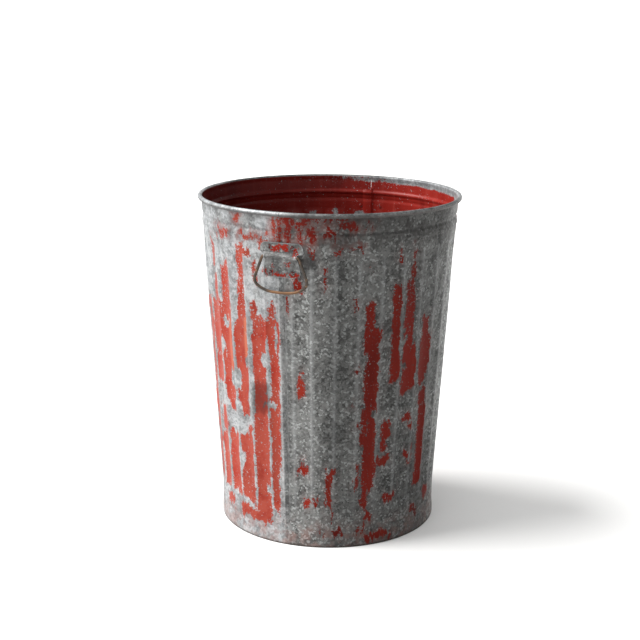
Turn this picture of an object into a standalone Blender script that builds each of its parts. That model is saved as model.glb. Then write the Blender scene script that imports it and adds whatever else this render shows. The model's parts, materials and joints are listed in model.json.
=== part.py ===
"""Open-topped galvanised refuse can, made from two fluted half sheets and a raised bottom pan.

The half sheets are joined by folded lock seams at the front and the back, and their
top edge is curled over a rim wire. A stamped ear is riveted over each seam, and a
free-swinging wire bail hangs in each ear.

Metres, +Z up. The origin is on the can's axis at floor level, and the front ear faces -Y.
"""
import math

import bmesh
import bpy
from mathutils import Matrix, Vector

# Overall size
HEIGHT = 0.660
RIM_RADIUS = 0.2603

# Wall: the outer radius of the flute crests is BASE_RADIUS + TAPER * z
BASE_RADIUS = 0.2132
TAPER = 0.0612
SHEET = 0.0007
FLUTE_DEPTH = 0.0035
FLUTE_PITCH = 10.57
FLUTES_PER_HALF = 16
FIRST_CREST = 2.3
SEAT_ANGLE = 13.0

# Foot: a straight hem folded under the flange of the bottom pan
FOOT_RADIUS = 0.2178
FOOT_WAIST = 0.2166
WAIST_FLARE = 0.0002
HEM_INNER_RADIUS = 0.2148
HEM_HEIGHT = 0.009

# Rim: the sheet curls outward over a wire
CURL_RADIUS = 0.0045
CURL_ANGLES = (180, 135, 90, 45, 0, -45, -90, -125)
RIM_WIRE_RADIUS = 0.0025

# Lock seam, as angles from the seam line and layers counted inward
LAYER = 0.0011
LAP_FOLD = 0.9
LAP_HOOK_END = 3.0
LAP_CREST = 4.2
TUCK_CREST = -1.6
TUCK_STEP = -0.4
TUCK_FOLD = 3.7
TUCK_HOOK_END = 2.3
FLUSH_ANGLE = 0.07
FLUSH_STEP = -0.7

# Bottom pan
PAN_SHEET = 0.0008
PAN_FLANGE_RADIUS = 0.21605
PAN_STEPS = 72

# Ears, rivets and bails
PIVOT_Z = 0.577
PIVOT_OFFSET = 0.0032
EAR_SHEET = 0.0012
EAR_GAP = 0.0005
EAR_COLUMNS = 8
TUNNEL_CREST = 0.00715
BAIL_WIRE_RADIUS = 0.00275
RIVET_X = 0.022
RIVET_DROPS = (-0.018, 0.030)
RIVET_HOLE_RADIUS = 0.00275
RIVET_HOLE_DEPTH = 0.008
RIVET_SIDES = 10


def clear_scene():
    for obj in list(bpy.data.objects):
        bpy.data.objects.remove(obj)


def make_collection(name):
    collection = bpy.data.collections.new(name)
    bpy.context.scene.collection.children.link(collection)
    return collection


def make_material(name, colour, roughness, metallic):
    material = bpy.data.materials.new(name)
    material.use_nodes = True
    shader = material.node_tree.nodes["Principled BSDF"]
    shader.inputs["Base Color"].default_value = (*colour, 1.0)
    shader.inputs["Roughness"].default_value = roughness
    shader.inputs["Metallic"].default_value = metallic
    return material


def add_object(name, data, collection, material=None):
    obj = bpy.data.objects.new(name, data)
    collection.objects.link(obj)
    if material is not None:
        data.materials.append(material)
    return obj


def smooth(mesh):
    mesh.shade_smooth()
    mesh.set_sharp_from_angle(angle=math.radians(35))


def crest_radius(z):
    """Outer radius of the wall's crests at height z."""
    return BASE_RADIUS + TAPER * z


def mesh_from_grid(name, grid):
    """A mesh from rows of points, where a point of None leaves its faces out."""
    bm = bmesh.new()
    vertices = []
    for row in grid:
        vertices.append([bm.verts.new(point) if point is not None else None for point in row])
    for lower, upper in zip(vertices, vertices[1:]):
        for i in range(len(lower) - 1):
            corners = (lower[i], lower[i + 1], upper[i + 1], upper[i])
            if None not in corners:
                bm.faces.new(corners)
    loose = [vert for vert in bm.verts if not vert.link_faces]
    bmesh.ops.delete(bm, geom=loose, context="VERTS")
    mesh = bpy.data.meshes.new(name)
    bm.to_mesh(mesh)
    bm.free()
    return mesh


def apply_modifiers(obj):
    """Replace the object's mesh by its evaluated one, so that copies can share it."""
    depsgraph = bpy.context.evaluated_depsgraph_get()
    baked = bpy.data.meshes.new_from_object(obj.evaluated_get(depsgraph))
    obj.modifiers.clear()
    obj.data = baked
    baked.name = obj.name
    smooth(baked)


def thicken(obj, thickness):
    solidify = obj.modifiers.new("thickness", "SOLIDIFY")
    solidify.thickness = thickness
    solidify.offset = 0.0
    solidify.use_even_offset = True


def cut(obj, cutter):
    boolean = obj.modifiers.new("holes", "BOOLEAN")
    boolean.operation = "DIFFERENCE"
    boolean.solver = "EXACT"
    boolean.object = cutter


def turned(name, profile, steps, collection, material):
    """An object from (radius, z) points, top to bottom on the outside, turned about Z."""
    mesh = bpy.data.meshes.new(name)
    edges = [(i, i + 1) for i in range(len(profile) - 1)]
    mesh.from_pydata([(r, 0, z) for r, z in profile], edges, [])
    obj = add_object(name, mesh, collection, material)
    screw = obj.modifiers.new("turn", "SCREW")
    screw.steps = steps
    screw.render_steps = steps
    screw.use_merge_vertices = True
    screw.merge_threshold = 0.0001
    return obj


# ---------------------------------------------------------------- half sheets

def wall_rows():
    """Rows of the half sheet from hem to curl.

    Each row is (middle radius, z, flute fraction, seat fraction, seam state).
    """
    half = SHEET / 2
    rows = [
        (HEM_INNER_RADIUS, HEM_HEIGHT, 0, 0, "flush"),
        (HEM_INNER_RADIUS, half, 0, 0, "flush"),
        (FOOT_RADIUS - half, half, 0, 0, "flush"),
        (FOOT_RADIUS - half, 0.010, 0, 0, "flush"),
        (FOOT_WAIST - half, 0.024, 0, 0, "flush"),
        (FOOT_WAIST - half, 0.038, 0, 0, "flush"),
        (FOOT_WAIST + WAIST_FLARE - half, 0.0435, 0, 0, "trimmed"),
        (FOOT_WAIST + WAIST_FLARE - half, 0.045, 0, 0, "locked"),
    ]
    for z, flute, seat in ((0.085, 1, 1), (0.500, 1, 1), (0.530, 1, 0), (0.575, 1, 0)):
        rows.append((crest_radius(z) - half, z, flute, seat, "locked"))
    band = (
        (0.589, 0.0, "locked"),
        (0.604, 0.0, "locked"),
        (0.608, 0.0010, "locked"),
        (0.616, 0.0004, "locked"),
        (0.623, -0.0022, "locked"),
        (0.630, -0.0002, "locked"),
        (0.6315, 0.0002, "trimmed"),
        (0.640, 0.0, "flush"),
    )
    for z, swell, seam in band:
        rows.append((crest_radius(z) + swell - half, z, 0, 0, seam))
    middle = CURL_RADIUS - half
    for angle in CURL_ANGLES:
        turn = math.radians(angle)
        radius = RIM_RADIUS - CURL_RADIUS + middle * math.cos(turn)
        rows.append((radius, HEIGHT - CURL_RADIUS + middle * math.sin(turn), 0, 0, "flush"))
    return rows


def wall_columns():
    """Columns of the half sheet from its lapped edge to its tucked edge.

    Each column is (angle, layers inward, flute fraction, is a seat column, flush angle), and a
    flush angle of None leaves the column out where the seam is not locked.
    """
    columns = [
        (LAP_HOOK_END, 2, 0, False, None),
        (LAP_FOLD, 2, 0, False, None),
        (LAP_FOLD, 0, 0, False, FLUSH_ANGLE),
        (LAP_CREST, 0, 0, False, LAP_CREST),
    ]
    previous = LAP_CREST
    for k in range(1, FLUTES_PER_HALF + 1):
        crest = FIRST_CREST + FLUTE_PITCH * k
        valley = (previous + crest) / 2
        columns.append((valley, 0, 1, valley < SEAT_ANGLE, valley))
        columns.append((crest, 0, 0, False, crest))
        previous = crest
    last_crest = 180 + TUCK_CREST
    valley = (previous + last_crest) / 2
    columns += [
        (valley, 0, 1, True, valley),
        (last_crest, 0, 0, False, last_crest),
        (180 + TUCK_STEP, 3, 0, False, 180 + FLUSH_STEP),
        (180 + TUCK_FOLD, 3, 0, False, 180 - FLUSH_ANGLE),
        (180 + TUCK_FOLD, 1, 0, False, None),
        (180 + TUCK_HOOK_END, 1, 0, False, None),
    ]
    return columns


def wall_point(row, column):
    radius, z, flute, seat, seam = row
    angle, layers, valley, is_seat, flush_angle = column
    if seam != "locked":
        if flush_angle is None:
            return None
        if layers == 3 and seam == "trimmed":
            angle = min(angle, flush_angle)
        else:
            angle = flush_angle
        layers = layers if seam == "trimmed" else 0
    depth = FLUTE_DEPTH * flute * valley * (seat if is_seat else 1)
    r = radius - depth - LAYER * layers
    turn = math.radians(angle - 90)
    return Vector((r * math.cos(turn), r * math.sin(turn), z))


def make_half_sheets(collection, cutter, material):
    grid = [[wall_point(row, column) for column in wall_columns()] for row in wall_rows()]
    right = add_object("body_half_right", mesh_from_grid("body_half", grid), collection, material)
    thicken(right, SHEET)
    cut(right, cutter)
    apply_modifiers(right)
    left = add_object("body_half_left", right.data, collection)
    left.rotation_euler = (0, 0, math.pi)


# ------------------------------------------------------- bottom pan, rim wire

def make_bottom_pan(collection, material):
    """Raised pan whose flange stands inside the hem."""
    profile = (
        (PAN_FLANGE_RADIUS, 0.0016),
        (PAN_FLANGE_RADIUS, 0.0105),
        (0.2146, 0.0235),
        (0.2135, 0.0270),
        (0.2110, 0.0285),
        (0.0, 0.0285),
    )
    pan = turned("bottom_pan", profile, PAN_STEPS, collection, material)
    pan.modifiers["turn"].use_smooth_shade = False
    thicken(pan, PAN_SHEET)


def make_rim_wire(collection, material):
    bpy.ops.mesh.primitive_torus_add(
        major_radius=RIM_RADIUS - CURL_RADIUS,
        minor_radius=RIM_WIRE_RADIUS,
        major_segments=72,
        minor_segments=8,
        location=(0, 0, HEIGHT - CURL_RADIUS),
    )
    wire = bpy.context.object
    wire.name = "rim_wire"
    for owner in list(wire.users_collection):
        owner.objects.unlink(wire)
    collection.objects.link(wire)
    wire.data.materials.append(material)
    smooth(wire.data)


# --------------------------------------------------------- ears, rivets, bails

def wall_normal(angle):
    """Outward normal of the tapered wall at an angle from the front seam, in degrees."""
    turn = math.radians(angle - 90)
    return Vector((math.cos(turn), math.sin(turn), -TAPER)).normalized()


def rivet_places():
    """Frames on the wall's outer face under the front ear, with +Z along the wall's normal."""
    places = []
    for drop in RIVET_DROPS:
        z = PIVOT_Z - drop
        for side in (-1, 1):
            angle = math.degrees(math.asin(side * RIVET_X / crest_radius(z)))
            turn = math.radians(angle - 90)
            point = Vector((math.cos(turn), math.sin(turn), 0)) * crest_radius(z)
            point.z = z
            rotation = wall_normal(angle).to_track_quat("Z", "X").to_matrix().to_4x4()
            places.append(Matrix.Translation(point) @ rotation)
    return places


def make_rivet_cutter(collection):
    """Cylinders where the rivets of both ears pass through the wall."""
    bm = bmesh.new()
    half_turn = Matrix.Rotation(math.pi, 4, "Z")
    for place in rivet_places():
        for matrix in (place, half_turn @ place):
            bmesh.ops.create_cone(
                bm, cap_ends=True, segments=RIVET_SIDES, radius1=RIVET_HOLE_RADIUS,
                radius2=RIVET_HOLE_RADIUS, depth=RIVET_HOLE_DEPTH, matrix=matrix)
    mesh = bpy.data.meshes.new("rivet_cutter")
    bm.to_mesh(mesh)
    bm.free()
    cutter = add_object("rivet_cutter", mesh, collection)
    cutter.hide_render = True
    cutter.display_type = "WIRE"
    return cutter


def ear_rows():
    """Rows of the ear: (height above the pivot, half width, rise of the tunnel from 0 to 1)."""
    return (
        (0.0262, 0.0290, 0.0),
        (0.0245, 0.0350, 0.0),
        (0.0215, 0.0388, 0.0),
        (0.0120, 0.0426, 0.0),
        (0.0068, 0.0405, 0.0),
        (0.0054, 0.0345, 0.0),
        (0.0039, 0.0320, 0.60),
        (0.0020, 0.0320, 0.93),
        (0.0, 0.0320, 1.0),
        (-0.0020, 0.0320, 0.93),
        (-0.0039, 0.0320, 0.60),
        (-0.0054, 0.0312, 0.0),
        (-0.0120, 0.0320, 0.0),
        (-0.0270, 0.0362, 0.0),
        (-0.0340, 0.0358, 0.0),
        (-0.0385, 0.0280, 0.0),
    )


def ear_point(row, x_fraction):
    """A point of the ear's middle surface, which follows the wall beside a straight tunnel."""
    rise_z, half_width, tunnel = row
    x = half_width * x_fraction
    z = PIVOT_Z + rise_z
    radius = crest_radius(z) + EAR_GAP + EAR_SHEET / 2
    flange_y = math.sqrt(radius ** 2 - x ** 2)
    crest_y = crest_radius(PIVOT_Z) + TUNNEL_CREST
    return Vector((x, -(flange_y + (crest_y - flange_y) * tunnel), z))


def make_ears(collection, cutter, material):
    grid = []
    for row in ear_rows():
        fractions = [2 * i / EAR_COLUMNS - 1 for i in range(EAR_COLUMNS + 1)]
        grid.append([ear_point(row, fraction) for fraction in fractions])
    front = add_object("front_ear", mesh_from_grid("ear", grid), collection, material)
    thicken(front, EAR_SHEET)
    cut(front, cutter)
    apply_modifiers(front)
    back = add_object("back_ear", front.data, collection)
    back.rotation_euler = (0, 0, math.pi)


def make_rivets(collection, material):
    """Round-headed rivets, each in the frame of its place on the wall."""
    profile = (
        (0.0, 0.0040),
        (0.0034, 0.0034),
        (0.0044, 0.0021),
        (0.0024, 0.0021),
        (0.0024, -0.0010),
        (0.0036, -0.0010),
        (0.0, -0.0020),
    )
    half_turn = Matrix.Rotation(math.pi, 4, "Z")
    shared = None
    for side, flip in (("front", Matrix.Identity(4)), ("back", half_turn)):
        for number, place in enumerate(rivet_places(), start=1):
            name = f"{side}_ear_rivet_{number}"
            if shared is None:
                rivet = turned(name, profile, RIVET_SIDES, collection, material)
                apply_modifiers(rivet)
                shared = rivet.data
            else:
                rivet = add_object(name, shared, collection)
            rivet.matrix_world = flip @ place


def rounded_path(corners, steps):
    """Points along straight runs whose corners, given as (x, z, radius), are rounded."""
    points = [Vector(corners[0][:2])]
    for before, here, after in zip(corners, corners[1:], corners[2:]):
        corner = Vector(here[:2])
        to_before = (Vector(before[:2]) - corner).normalized()
        to_after = (Vector(after[:2]) - corner).normalized()
        half_angle = to_before.angle(to_after) / 2
        reach = here[2] / math.tan(half_angle)
        centre = corner + (to_before + to_after).normalized() * (here[2] / math.sin(half_angle))
        start = corner + to_before * reach - centre
        end = corner + to_after * reach - centre
        for i in range(steps + 1):
            points.append(centre + start.slerp(end, i / steps).normalized() * here[2])
    points.append(Vector(corners[-1][:2]))
    return points


def bail_path():
    """The bail's wire in its own XZ plane, with both ends inside the ear's tunnel."""
    corners = ((0.0, -0.0668, 0), (0.0300, -0.0655, 0.060), (0.0550, -0.0500, 0.0150),
               (0.0360, 0.0, 0.0050), (0.0006, 0.0, 0))
    right = rounded_path(corners, 5)
    left = [Vector((-point.x, point.y)) for point in right]
    return list(reversed(right)) + left[1:]


def make_bails(collection, material):
    """One bail for each ear, with its origin on the axis of the ear's tunnel."""
    pivot_y = crest_radius(PIVOT_Z) + PIVOT_OFFSET
    for name, side, turn in (("front_bail", -1, 0.0), ("back_bail", 1, math.pi)):
        curve = bpy.data.curves.new(name, "CURVE")
        curve.dimensions = "3D"
        curve.bevel_depth = BAIL_WIRE_RADIUS
        curve.bevel_resolution = 2
        curve.use_fill_caps = True
        spline = curve.splines.new("POLY")
        path = bail_path()
        spline.points.add(len(path) - 1)
        for point, place in zip(spline.points, path):
            point.co = (place.x, 0, place.y, 1)
        bail = add_object(name, curve, collection, material)
        bail.location = (0, side * pivot_y, PIVOT_Z)
        bail.rotation_euler = (0, 0, turn)


def main():
    clear_scene()
    parts = make_collection("refuse_can")
    cutters = make_collection("cutters")
    painted = make_material("worn_painted_zinc", (0.36, 0.20, 0.18), 0.50, 0.55)
    zinc = make_material("dull_zinc", (0.38, 0.39, 0.40), 0.48, 0.85)
    wire = make_material("dark_steel_wire", (0.30, 0.28, 0.26), 0.45, 0.90)
    ear = make_material("worn_zinc_ear", (0.42, 0.42, 0.43), 0.45, 0.80)
    rivet = make_material("dull_rivet", (0.33, 0.31, 0.30), 0.50, 0.80)
    bail = make_material("rusty_wire", (0.24, 0.17, 0.12), 0.60, 0.60)
    cutter = make_rivet_cutter(cutters)
    make_half_sheets(parts, cutter, painted)
    make_bottom_pan(parts, zinc)
    make_rim_wire(parts, wire)
    make_ears(parts, cutter, ear)
    make_rivets(parts, rivet)
    make_bails(parts, bail)


main()
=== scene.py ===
"""Looks of the open-topped fluted refuse can: worn red paint over spangled zinc.

The two half sheets, the bottom pan, the ears, the rivets and the bails are rebuilt as fine
meshes in the places that the CAD frame gives, with procedural materials.
Angles on the wall are in degrees from the front seam, which faces -Y, towards +X.
"""

import json
import math
import random

import bpy
import numpy as np
from mathutils import Matrix, Vector, noise


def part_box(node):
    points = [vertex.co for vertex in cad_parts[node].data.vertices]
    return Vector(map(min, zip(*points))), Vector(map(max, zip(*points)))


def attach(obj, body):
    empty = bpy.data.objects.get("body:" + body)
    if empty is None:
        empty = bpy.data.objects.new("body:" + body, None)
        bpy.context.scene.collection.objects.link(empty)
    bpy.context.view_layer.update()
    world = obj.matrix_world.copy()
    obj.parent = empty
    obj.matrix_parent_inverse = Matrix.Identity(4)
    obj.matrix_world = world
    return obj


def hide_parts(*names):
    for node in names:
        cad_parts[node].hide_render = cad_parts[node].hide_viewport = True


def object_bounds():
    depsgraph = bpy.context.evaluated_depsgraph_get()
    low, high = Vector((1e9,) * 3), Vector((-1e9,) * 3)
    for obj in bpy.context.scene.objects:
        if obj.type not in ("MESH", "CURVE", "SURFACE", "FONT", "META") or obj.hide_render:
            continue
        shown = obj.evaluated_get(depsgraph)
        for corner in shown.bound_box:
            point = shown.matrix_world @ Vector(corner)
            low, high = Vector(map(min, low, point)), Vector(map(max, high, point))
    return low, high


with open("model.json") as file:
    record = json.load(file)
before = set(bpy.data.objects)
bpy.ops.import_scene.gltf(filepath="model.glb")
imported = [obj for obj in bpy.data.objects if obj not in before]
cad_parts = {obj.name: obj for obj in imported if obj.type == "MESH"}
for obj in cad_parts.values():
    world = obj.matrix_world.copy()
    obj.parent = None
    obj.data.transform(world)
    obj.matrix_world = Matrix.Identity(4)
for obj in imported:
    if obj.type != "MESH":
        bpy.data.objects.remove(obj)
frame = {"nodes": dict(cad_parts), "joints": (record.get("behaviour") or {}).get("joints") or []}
cad_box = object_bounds()

# ---------- dimensions (metres, degrees)

HEIGHT = cad_box[1].z
RIM_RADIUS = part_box("body_half_right")[1].x - 0.0001
FOOT_RADIUS = 0.2178
FOOT_WAIST = 0.2166
BASE_RADIUS = 0.2132
TAPER = 0.0612
SHEET = 0.0007
FLUTE_DEPTH = 0.0036
FLUTE_PITCH = 10.57
FLUTES_PER_HALF = 16
FIRST_CREST = 2.3
LAP_CREST = 4.2
TUCK_CREST = -1.6
FLUSH_ANGLE = 0.07
SEAT_ANGLE = 13.0
LAYER = 0.0011
HEM_INNER_RADIUS = 0.2148
HEM_HEIGHT = 0.009
HEM_CORNER = 0.0011
CURL_RADIUS = 0.0045
BEAD_START = HEIGHT - 0.0028
LOCK_LOW = 0.045
LOCK_HIGH = 0.63
# Heights between which a feature of the wall fades in or out
FOOT_FLARE = (0.01, 0.026)
FOOT_TO_WALL = (0.04, 0.085)
FLUTES_START = (0.062, 0.098)
FLUTES_END = (0.57, 0.589)
SEATS_START = (0.5, 0.53)
# Rings pressed round the wall: (middle z, half width, how far it stands out)
RINGS = ((0.0315, 0.003, -0.0007), (0.6095, 0.006, 0.0011), (0.6235, 0.0065, -0.0024))
# Where the points lie between two crests, as shares of the pitch
FLUTE_STEPS = (0.0, 0.03, 0.08, 0.16, 0.27, 0.4, 0.54, 0.67, 0.79, 0.88, 0.94, 0.975)
# Columns of the folded seam at each end of a half sheet: (angle, layers inward, flush angle,
# crest). A column without a flush angle is only on locked rows.
LAP_COLUMNS = ((3.0, 2), (1.05, 2), (0.9, 1.7), (0.9, 0.3), (1.05, 0, FLUSH_ANGLE, 1), (2.0, 0, 1.6),
               (3.1, 0, 3.0))
TUCK_COLUMNS = ((181.6, 3, 180 - FLUSH_ANGLE), (183.55, 3), (183.7, 2.7), (183.7, 1.3), (183.55, 1),
                (182.3, 1))
# The bend from the last crest to the tuck, counted from it: (angle, layers inward, flush angle)
TUCK_BEND = ((0.35, 0.25, 0.35), (0.7, 1.5, 0.7), (1.0, 2.75, 1.0), (1.3, 3, 1.25))

PIVOT_Z = frame["joints"][0]["pos_m"][2]
PIVOT_Y = abs(frame["joints"][0]["pos_m"][1])
EAR_SHEET = 0.0012
EAR_GAP = 0.0005
EAR_TOP = 0.0262
EAR_BOTTOM = -0.0385
TUNNEL_CREST = 0.00715
TUNNEL_HALF_HEIGHT = 0.0088
BAIL_WIRE_RADIUS = 0.0027
RIVET_X = 0.022
RIVET_HEIGHTS = (0.018, -0.03)
RIVET_HEAD_RADIUS = 0.0043
RIVET_HEAD_BASE = 0.002
RIVET_HEAD_RISE = 0.0018
RIVET_STEPS = 28
# The rivet below its round head, from its tail up: (radius, height over the wall)
RIVET_SHANK = ((0, -0.002), (0.002, -0.0019), (0.0031, -0.0016), (0.0034, -0.001),
               (0.0023, -0.001), (0.0023, 0.0019), (0.0041, 0.0019))
PAN_SHEET = 0.0008
PAN_FLANGE_RADIUS = 0.21605
PAN_FLOOR = 0.0285
PAN_STEPS = 160

# Right halves of outlines: (x or radius, height, corner radius). The heights of the ear and the
# bail are from the pivot.
EAR_OUTLINE = ((0.02, EAR_TOP, 0), (0.0395, EAR_TOP, 0.011), (0.044, 0.0062, 0.0045),
               (0.0326, 0.0056, 0.0022), (0.0322, -0.006, 0.001), (0.0366, -0.03, 0.008),
               (0.034, EAR_BOTTOM, 0.0045), (0.02, EAR_BOTTOM, 0))
BAIL_OUTLINE = ((0.0, -0.0668, 0), (0.03, -0.0655, 0.06), (0.055, -0.05, 0.015),
                (0.036, 0.0, 0.005), (0.0006, 0.0, 0))
PAN_OUTLINE = ((PAN_FLANGE_RADIUS, 0.0016, 0), (PAN_FLANGE_RADIUS, 0.0105, 0.004),
               (0.2146, 0.0235, 0.006), (0.213, PAN_FLOOR, 0.003), (0.206, PAN_FLOOR, 0))

# Where the side that the photograph doesn't show gets its paint, in degrees
HIDDEN_START = 106
HIDDEN_STRIPS = 18
HIDDEN_PATCHES = 11

# Paint left on the outside: (first angle, last angle, lowest z, highest z)
PAINT_BARS = (
    # left of the front seam
    (-62, -19.5, 0.3, 0.464), (-17.6, -2.2, 0.284, 0.458), (-18.2, -3, 0.15, 0.292),
    (-18.2, -4.4, 0.066, 0.16), (-7.3, -4.3, 0.44, 0.488), (-17.4, -13.4, 0.44, 0.48),
    (-37.6, -30.4, 0.45, 0.54), (-34, -31.2, 0.54, 0.556), (-45.2, -40.6, 0.45, 0.524),
    (-46, -43.2, 0.54, 0.586), (-26.6, -20.2, 0.45, 0.52), (-24.6, -20.2, 0.515, 0.576),
    (-23.4, -16.4, 0.566, 0.586), (-39.2, -30.2, 0.27, 0.31), (-36.8, -31.8, 0.252, 0.28),
    (-28.4, -21.6, 0.27, 0.31), (-26.8, -21.4, 0.252, 0.28), (-39.2, -30, 0.08, 0.206),
    (-30.6, -18.2, 0.076, 0.209), (-22.6, -19.6, 0.2, 0.234), (-50, -41.4, 0.08, 0.192),
    (-47.2, -39.8, 0.196, 0.254), (-62, -50, 0.08, 0.3), (-31, -9, 0.036, 0.06),
    (-20, -9.4, 0.05, 0.08), (-46, -38, 0.044, 0.066), (-15.2, -12.8, 0.52, 0.56),
    (5, 9.2, 0.514, 0.536), (-9.3, -6.8, 0.539, 0.551),
    # band under the rim
    (-24.5, -21, 0.634, 0.65), (-38, -29, 0.6, 0.612), (-10.5, -6.5, 0.592, 0.614),
    (-21, -12, 0.602, 0.612), (-3.6, -2.3, 0.606, 0.655), (-1.5, -0.2, 0.606, 0.648),
    (1.8, 4.2, 0.604, 0.655), (4, 6.4, 0.636, 0.655), (7.2, 8.8, 0.604, 0.634),
    (9.5, 28, 0.644, 0.656), (10.5, 15, 0.612, 0.634),
    (18, 23, 0.614, 0.628), (24.5, 32, 0.628, 0.64), (23, 26, 0.588, 0.596),
    (30, 35, 0.588, 0.594), (12, 14.5, 0.574, 0.598), (36, 39.5, 0.638, 0.645),
    # bare middle with small islands
    (1.1, 2.8, 0.474, 0.503), (18.4, 19.1, 0.51, 0.562),
    (6.2, 9, 0.309, 0.344), (7.9, 9.2, 0.34, 0.357), (5.8, 10.4, 0.146, 0.164),
    (7.6, 8.8, 0.16, 0.182), (8.6, 11, 0.079, 0.096), (10.6, 11.6, 0.09, 0.103),
    (13, 15, 0.09, 0.104), (19.2, 24.4, 0.124, 0.163), (19.2, 22.6, 0.08, 0.126),
    (22.4, 23.6, 0.046, 0.09), (23.4, 28, 0.022, 0.036), (16.5, 19.2, 0.03, 0.04),
    (34, 35.6, 0.12, 0.166), (33.6, 35.2, 0.238, 0.254), (33.2, 35.6, 0.352, 0.368),
    (31.6, 34, 0.48, 0.5), (37.8, 39.2, 0.556, 0.564), (32.2, 33.6, 0.288, 0.297),
    # right of the middle
    (37.4, 41.6, 0.395, 0.487), (37.2, 45.6, 0.405, 0.44), (38.6, 44.4, 0.282, 0.41),
    (37.2, 44, 0.3, 0.362), (37.6, 41.4, 0.262, 0.292), (36.6, 39.2, 0.232, 0.282),
    (40.2, 44.9, 0.18, 0.258), (36.2, 44.6, 0.206, 0.234), (38, 44.9, 0.142, 0.214),
    (44, 52.4, 0.164, 0.184), (37.4, 40.8, 0.074, 0.16), (40, 44.6, 0.118, 0.15),
    (39.2, 43, 0.044, 0.064), (36.2, 39.2, 0.028, 0.04), (40, 55, 0.008, 0.022),
    (47, 49.6, 0.192, 0.242), (48, 51.6, 0.222, 0.256), (50.6, 55.4, 0.33, 0.524),
    (50.6, 66, 0.334, 0.352), (57.4, 63, 0.36, 0.52), (60, 62.6, 0.5, 0.552),
    (60.4, 62.4, 0.558, 0.586), (57.4, 66, 0.306, 0.395), (52, 54.4, 0.568, 0.584),
    (69.6, 74.2, 0.312, 0.45), (72.6, 77.2, 0.352, 0.412), (68.6, 75.2, 0.325, 0.4),
    (70.2, 76, 0.268, 0.302), (71.6, 77.4, 0.098, 0.27), (59.6, 65.2, 0.244, 0.258),
    (61.6, 67.4, 0.17, 0.184), (64.8, 68.2, 0.15, 0.166), (63.8, 66.2, 0.224, 0.236),
    (50.4, 57.4, 0.091, 0.103), (69, 75.4, 0.04, 0.054), (81.5, 87.5, 0.06, 0.08),
)

# Bare patches inside those bars, in the same terms
BARE_BARS = (
    (-8.9, -8.4, 0.03, 0.42), (-12.2, -7.2, 0.362, 0.392), (-9.6, -7.4, 0.3, 0.372),
    (-4.5, -3.1, 0.398, 0.446), (-12.6, -5.2, 0.277, 0.284), (-18.8, -18.3, 0.05, 0.262),
    (-19.6, -17.6, 0.34, 0.54), (-18.8, -16.4, 0.418, 0.446), (-20.2, -17, 0.26, 0.346),
    (-22.3, -20, 0.355, 0.373), (-29.7, -29.2, 0.06, 0.3), (-34, -26.3, 0.298, 0.337),
    (-30.2, -28.7, 0.337, 0.56), (-29.8, -26, 0.438, 0.476), (-29.2, -25.2, 0.472, 0.528),
    (-37.6, -32.5, 0.42, 0.439), (-40.3, -39.9, 0.06, 0.36), (-41.6, -37.2, 0.361, 0.387),
    (-50, -40, 0.35, 0.357), (-31, -26, 0.149, 0.176), (-50.6, -49.4, 0.08, 0.46),
    (-12, -8, 0.1, 0.118), (-61, -60, 0.08, 0.46),
    (55.7, 57.2, 0.338, 0.378), (55.5, 59.8, 0.398, 0.412), (55.5, 58.6, 0.424, 0.434),
    (55.6, 57.4, 0.448, 0.512), (44.9, 46.8, 0.19, 0.262), (58.6, 60.4, 0.35, 0.36),
    (0, 1.3, 0.6, 0.65),
)

# Soft dark stains, painted shadow beside the front ear (the first three) and pale streaks, in the same
# terms
STAINS_AND_SHADOWS = (
    (9.9, 15.2, 0.556, 0.59), (9.4, 10.6, 0.576, 0.602), (7.7, 8.8, 0.536, 0.572),
    (-17.6, -8.6, 0.262, 0.324), (0.9, 1.2, 0.05, 0.54),
)
PALE_STREAKS = ((-21.8, -20, 0.372, 0.442), (-33, -31.5, 0.33, 0.44))

# Paint left on the ears: (first x, last x, lowest, highest), from the middle of the tunnel
EAR_PAINT = (
    (-0.0215, 0.015, 0.0085, 0.0235), (0.024, 0.033, 0.002, 0.017),
    (0.006, 0.018, -0.018, -0.009), (-0.0195, -0.0155, -0.036, -0.009),
    (-0.019, 0.006, -0.0385, -0.0275), (0.004, 0.034, -0.0385, -0.029),
    (-0.034, -0.029, -0.035, -0.025),
)
EAR_BARE = (
    (-0.01, 0.006, -0.03, -0.016), (0.018, 0.024, 0.012, 0.024), (-0.002, 0.002, 0.012, 0.016),
)

# Bare patches of the paint inside, in degrees and metres like those outside
BARE_INSIDE = (
    (72, 98, 0.638, 0.655), (100, 118, 0.642, 0.655), (128, 133, 0.6, 0.615),
    (183, 188, 0.56, 0.582), (196.6, 198.6, 0.56, 0.585), (207.6, 210.6, 0.56, 0.581),
    (60, 72, 0.62, 0.627),
)

# Colours, as linear red, green and blue
ZINC_DARK = (0.05, 0.05, 0.049)
ZINC_LIGHT = (0.185, 0.186, 0.182)
ZINC_FLECK = (0.4, 0.415, 0.41)
# pale smooth zinc, also painted light on the walls' lit sides
CLEAN_ZINC_DARK = (0.16, 0.168, 0.174)
CLEAN_ZINC_LIGHT = (0.4, 0.413, 0.421)
RUBBED_ZINC = (0.36, 0.368, 0.372)
# lighter ear edges: painted highlight, partly rubbed wear
EDGE_HIGHLIGHT_AND_WEAR = (0.31, 0.32, 0.325)
RED_SMEAR = (0.25, 0.13, 0.11)
RED_DUST = (0.2, 0.06, 0.05)
# soot on the upper band, partly painted shade under the rim
SOOT_AND_RIM_SHADE = (0.05, 0.047, 0.045)
SOOTY_SHADED_RED = (0.075, 0.01, 0.008)
# paler red of the lit front left: painted sheen, partly fading
FADED_SHEEN_RED = (0.31, 0.068, 0.046)
PALE_RED = (0.52, 0.2, 0.11)
# dark stains, also painted shadow beside the front ear
STAIN_AND_SHADOW = (0.03, 0.029, 0.029)
STAINED_AND_SHADOWED_RED = (0.13, 0.02, 0.014)
TAIL_RED = (0.19, 0.013, 0.009)
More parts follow.
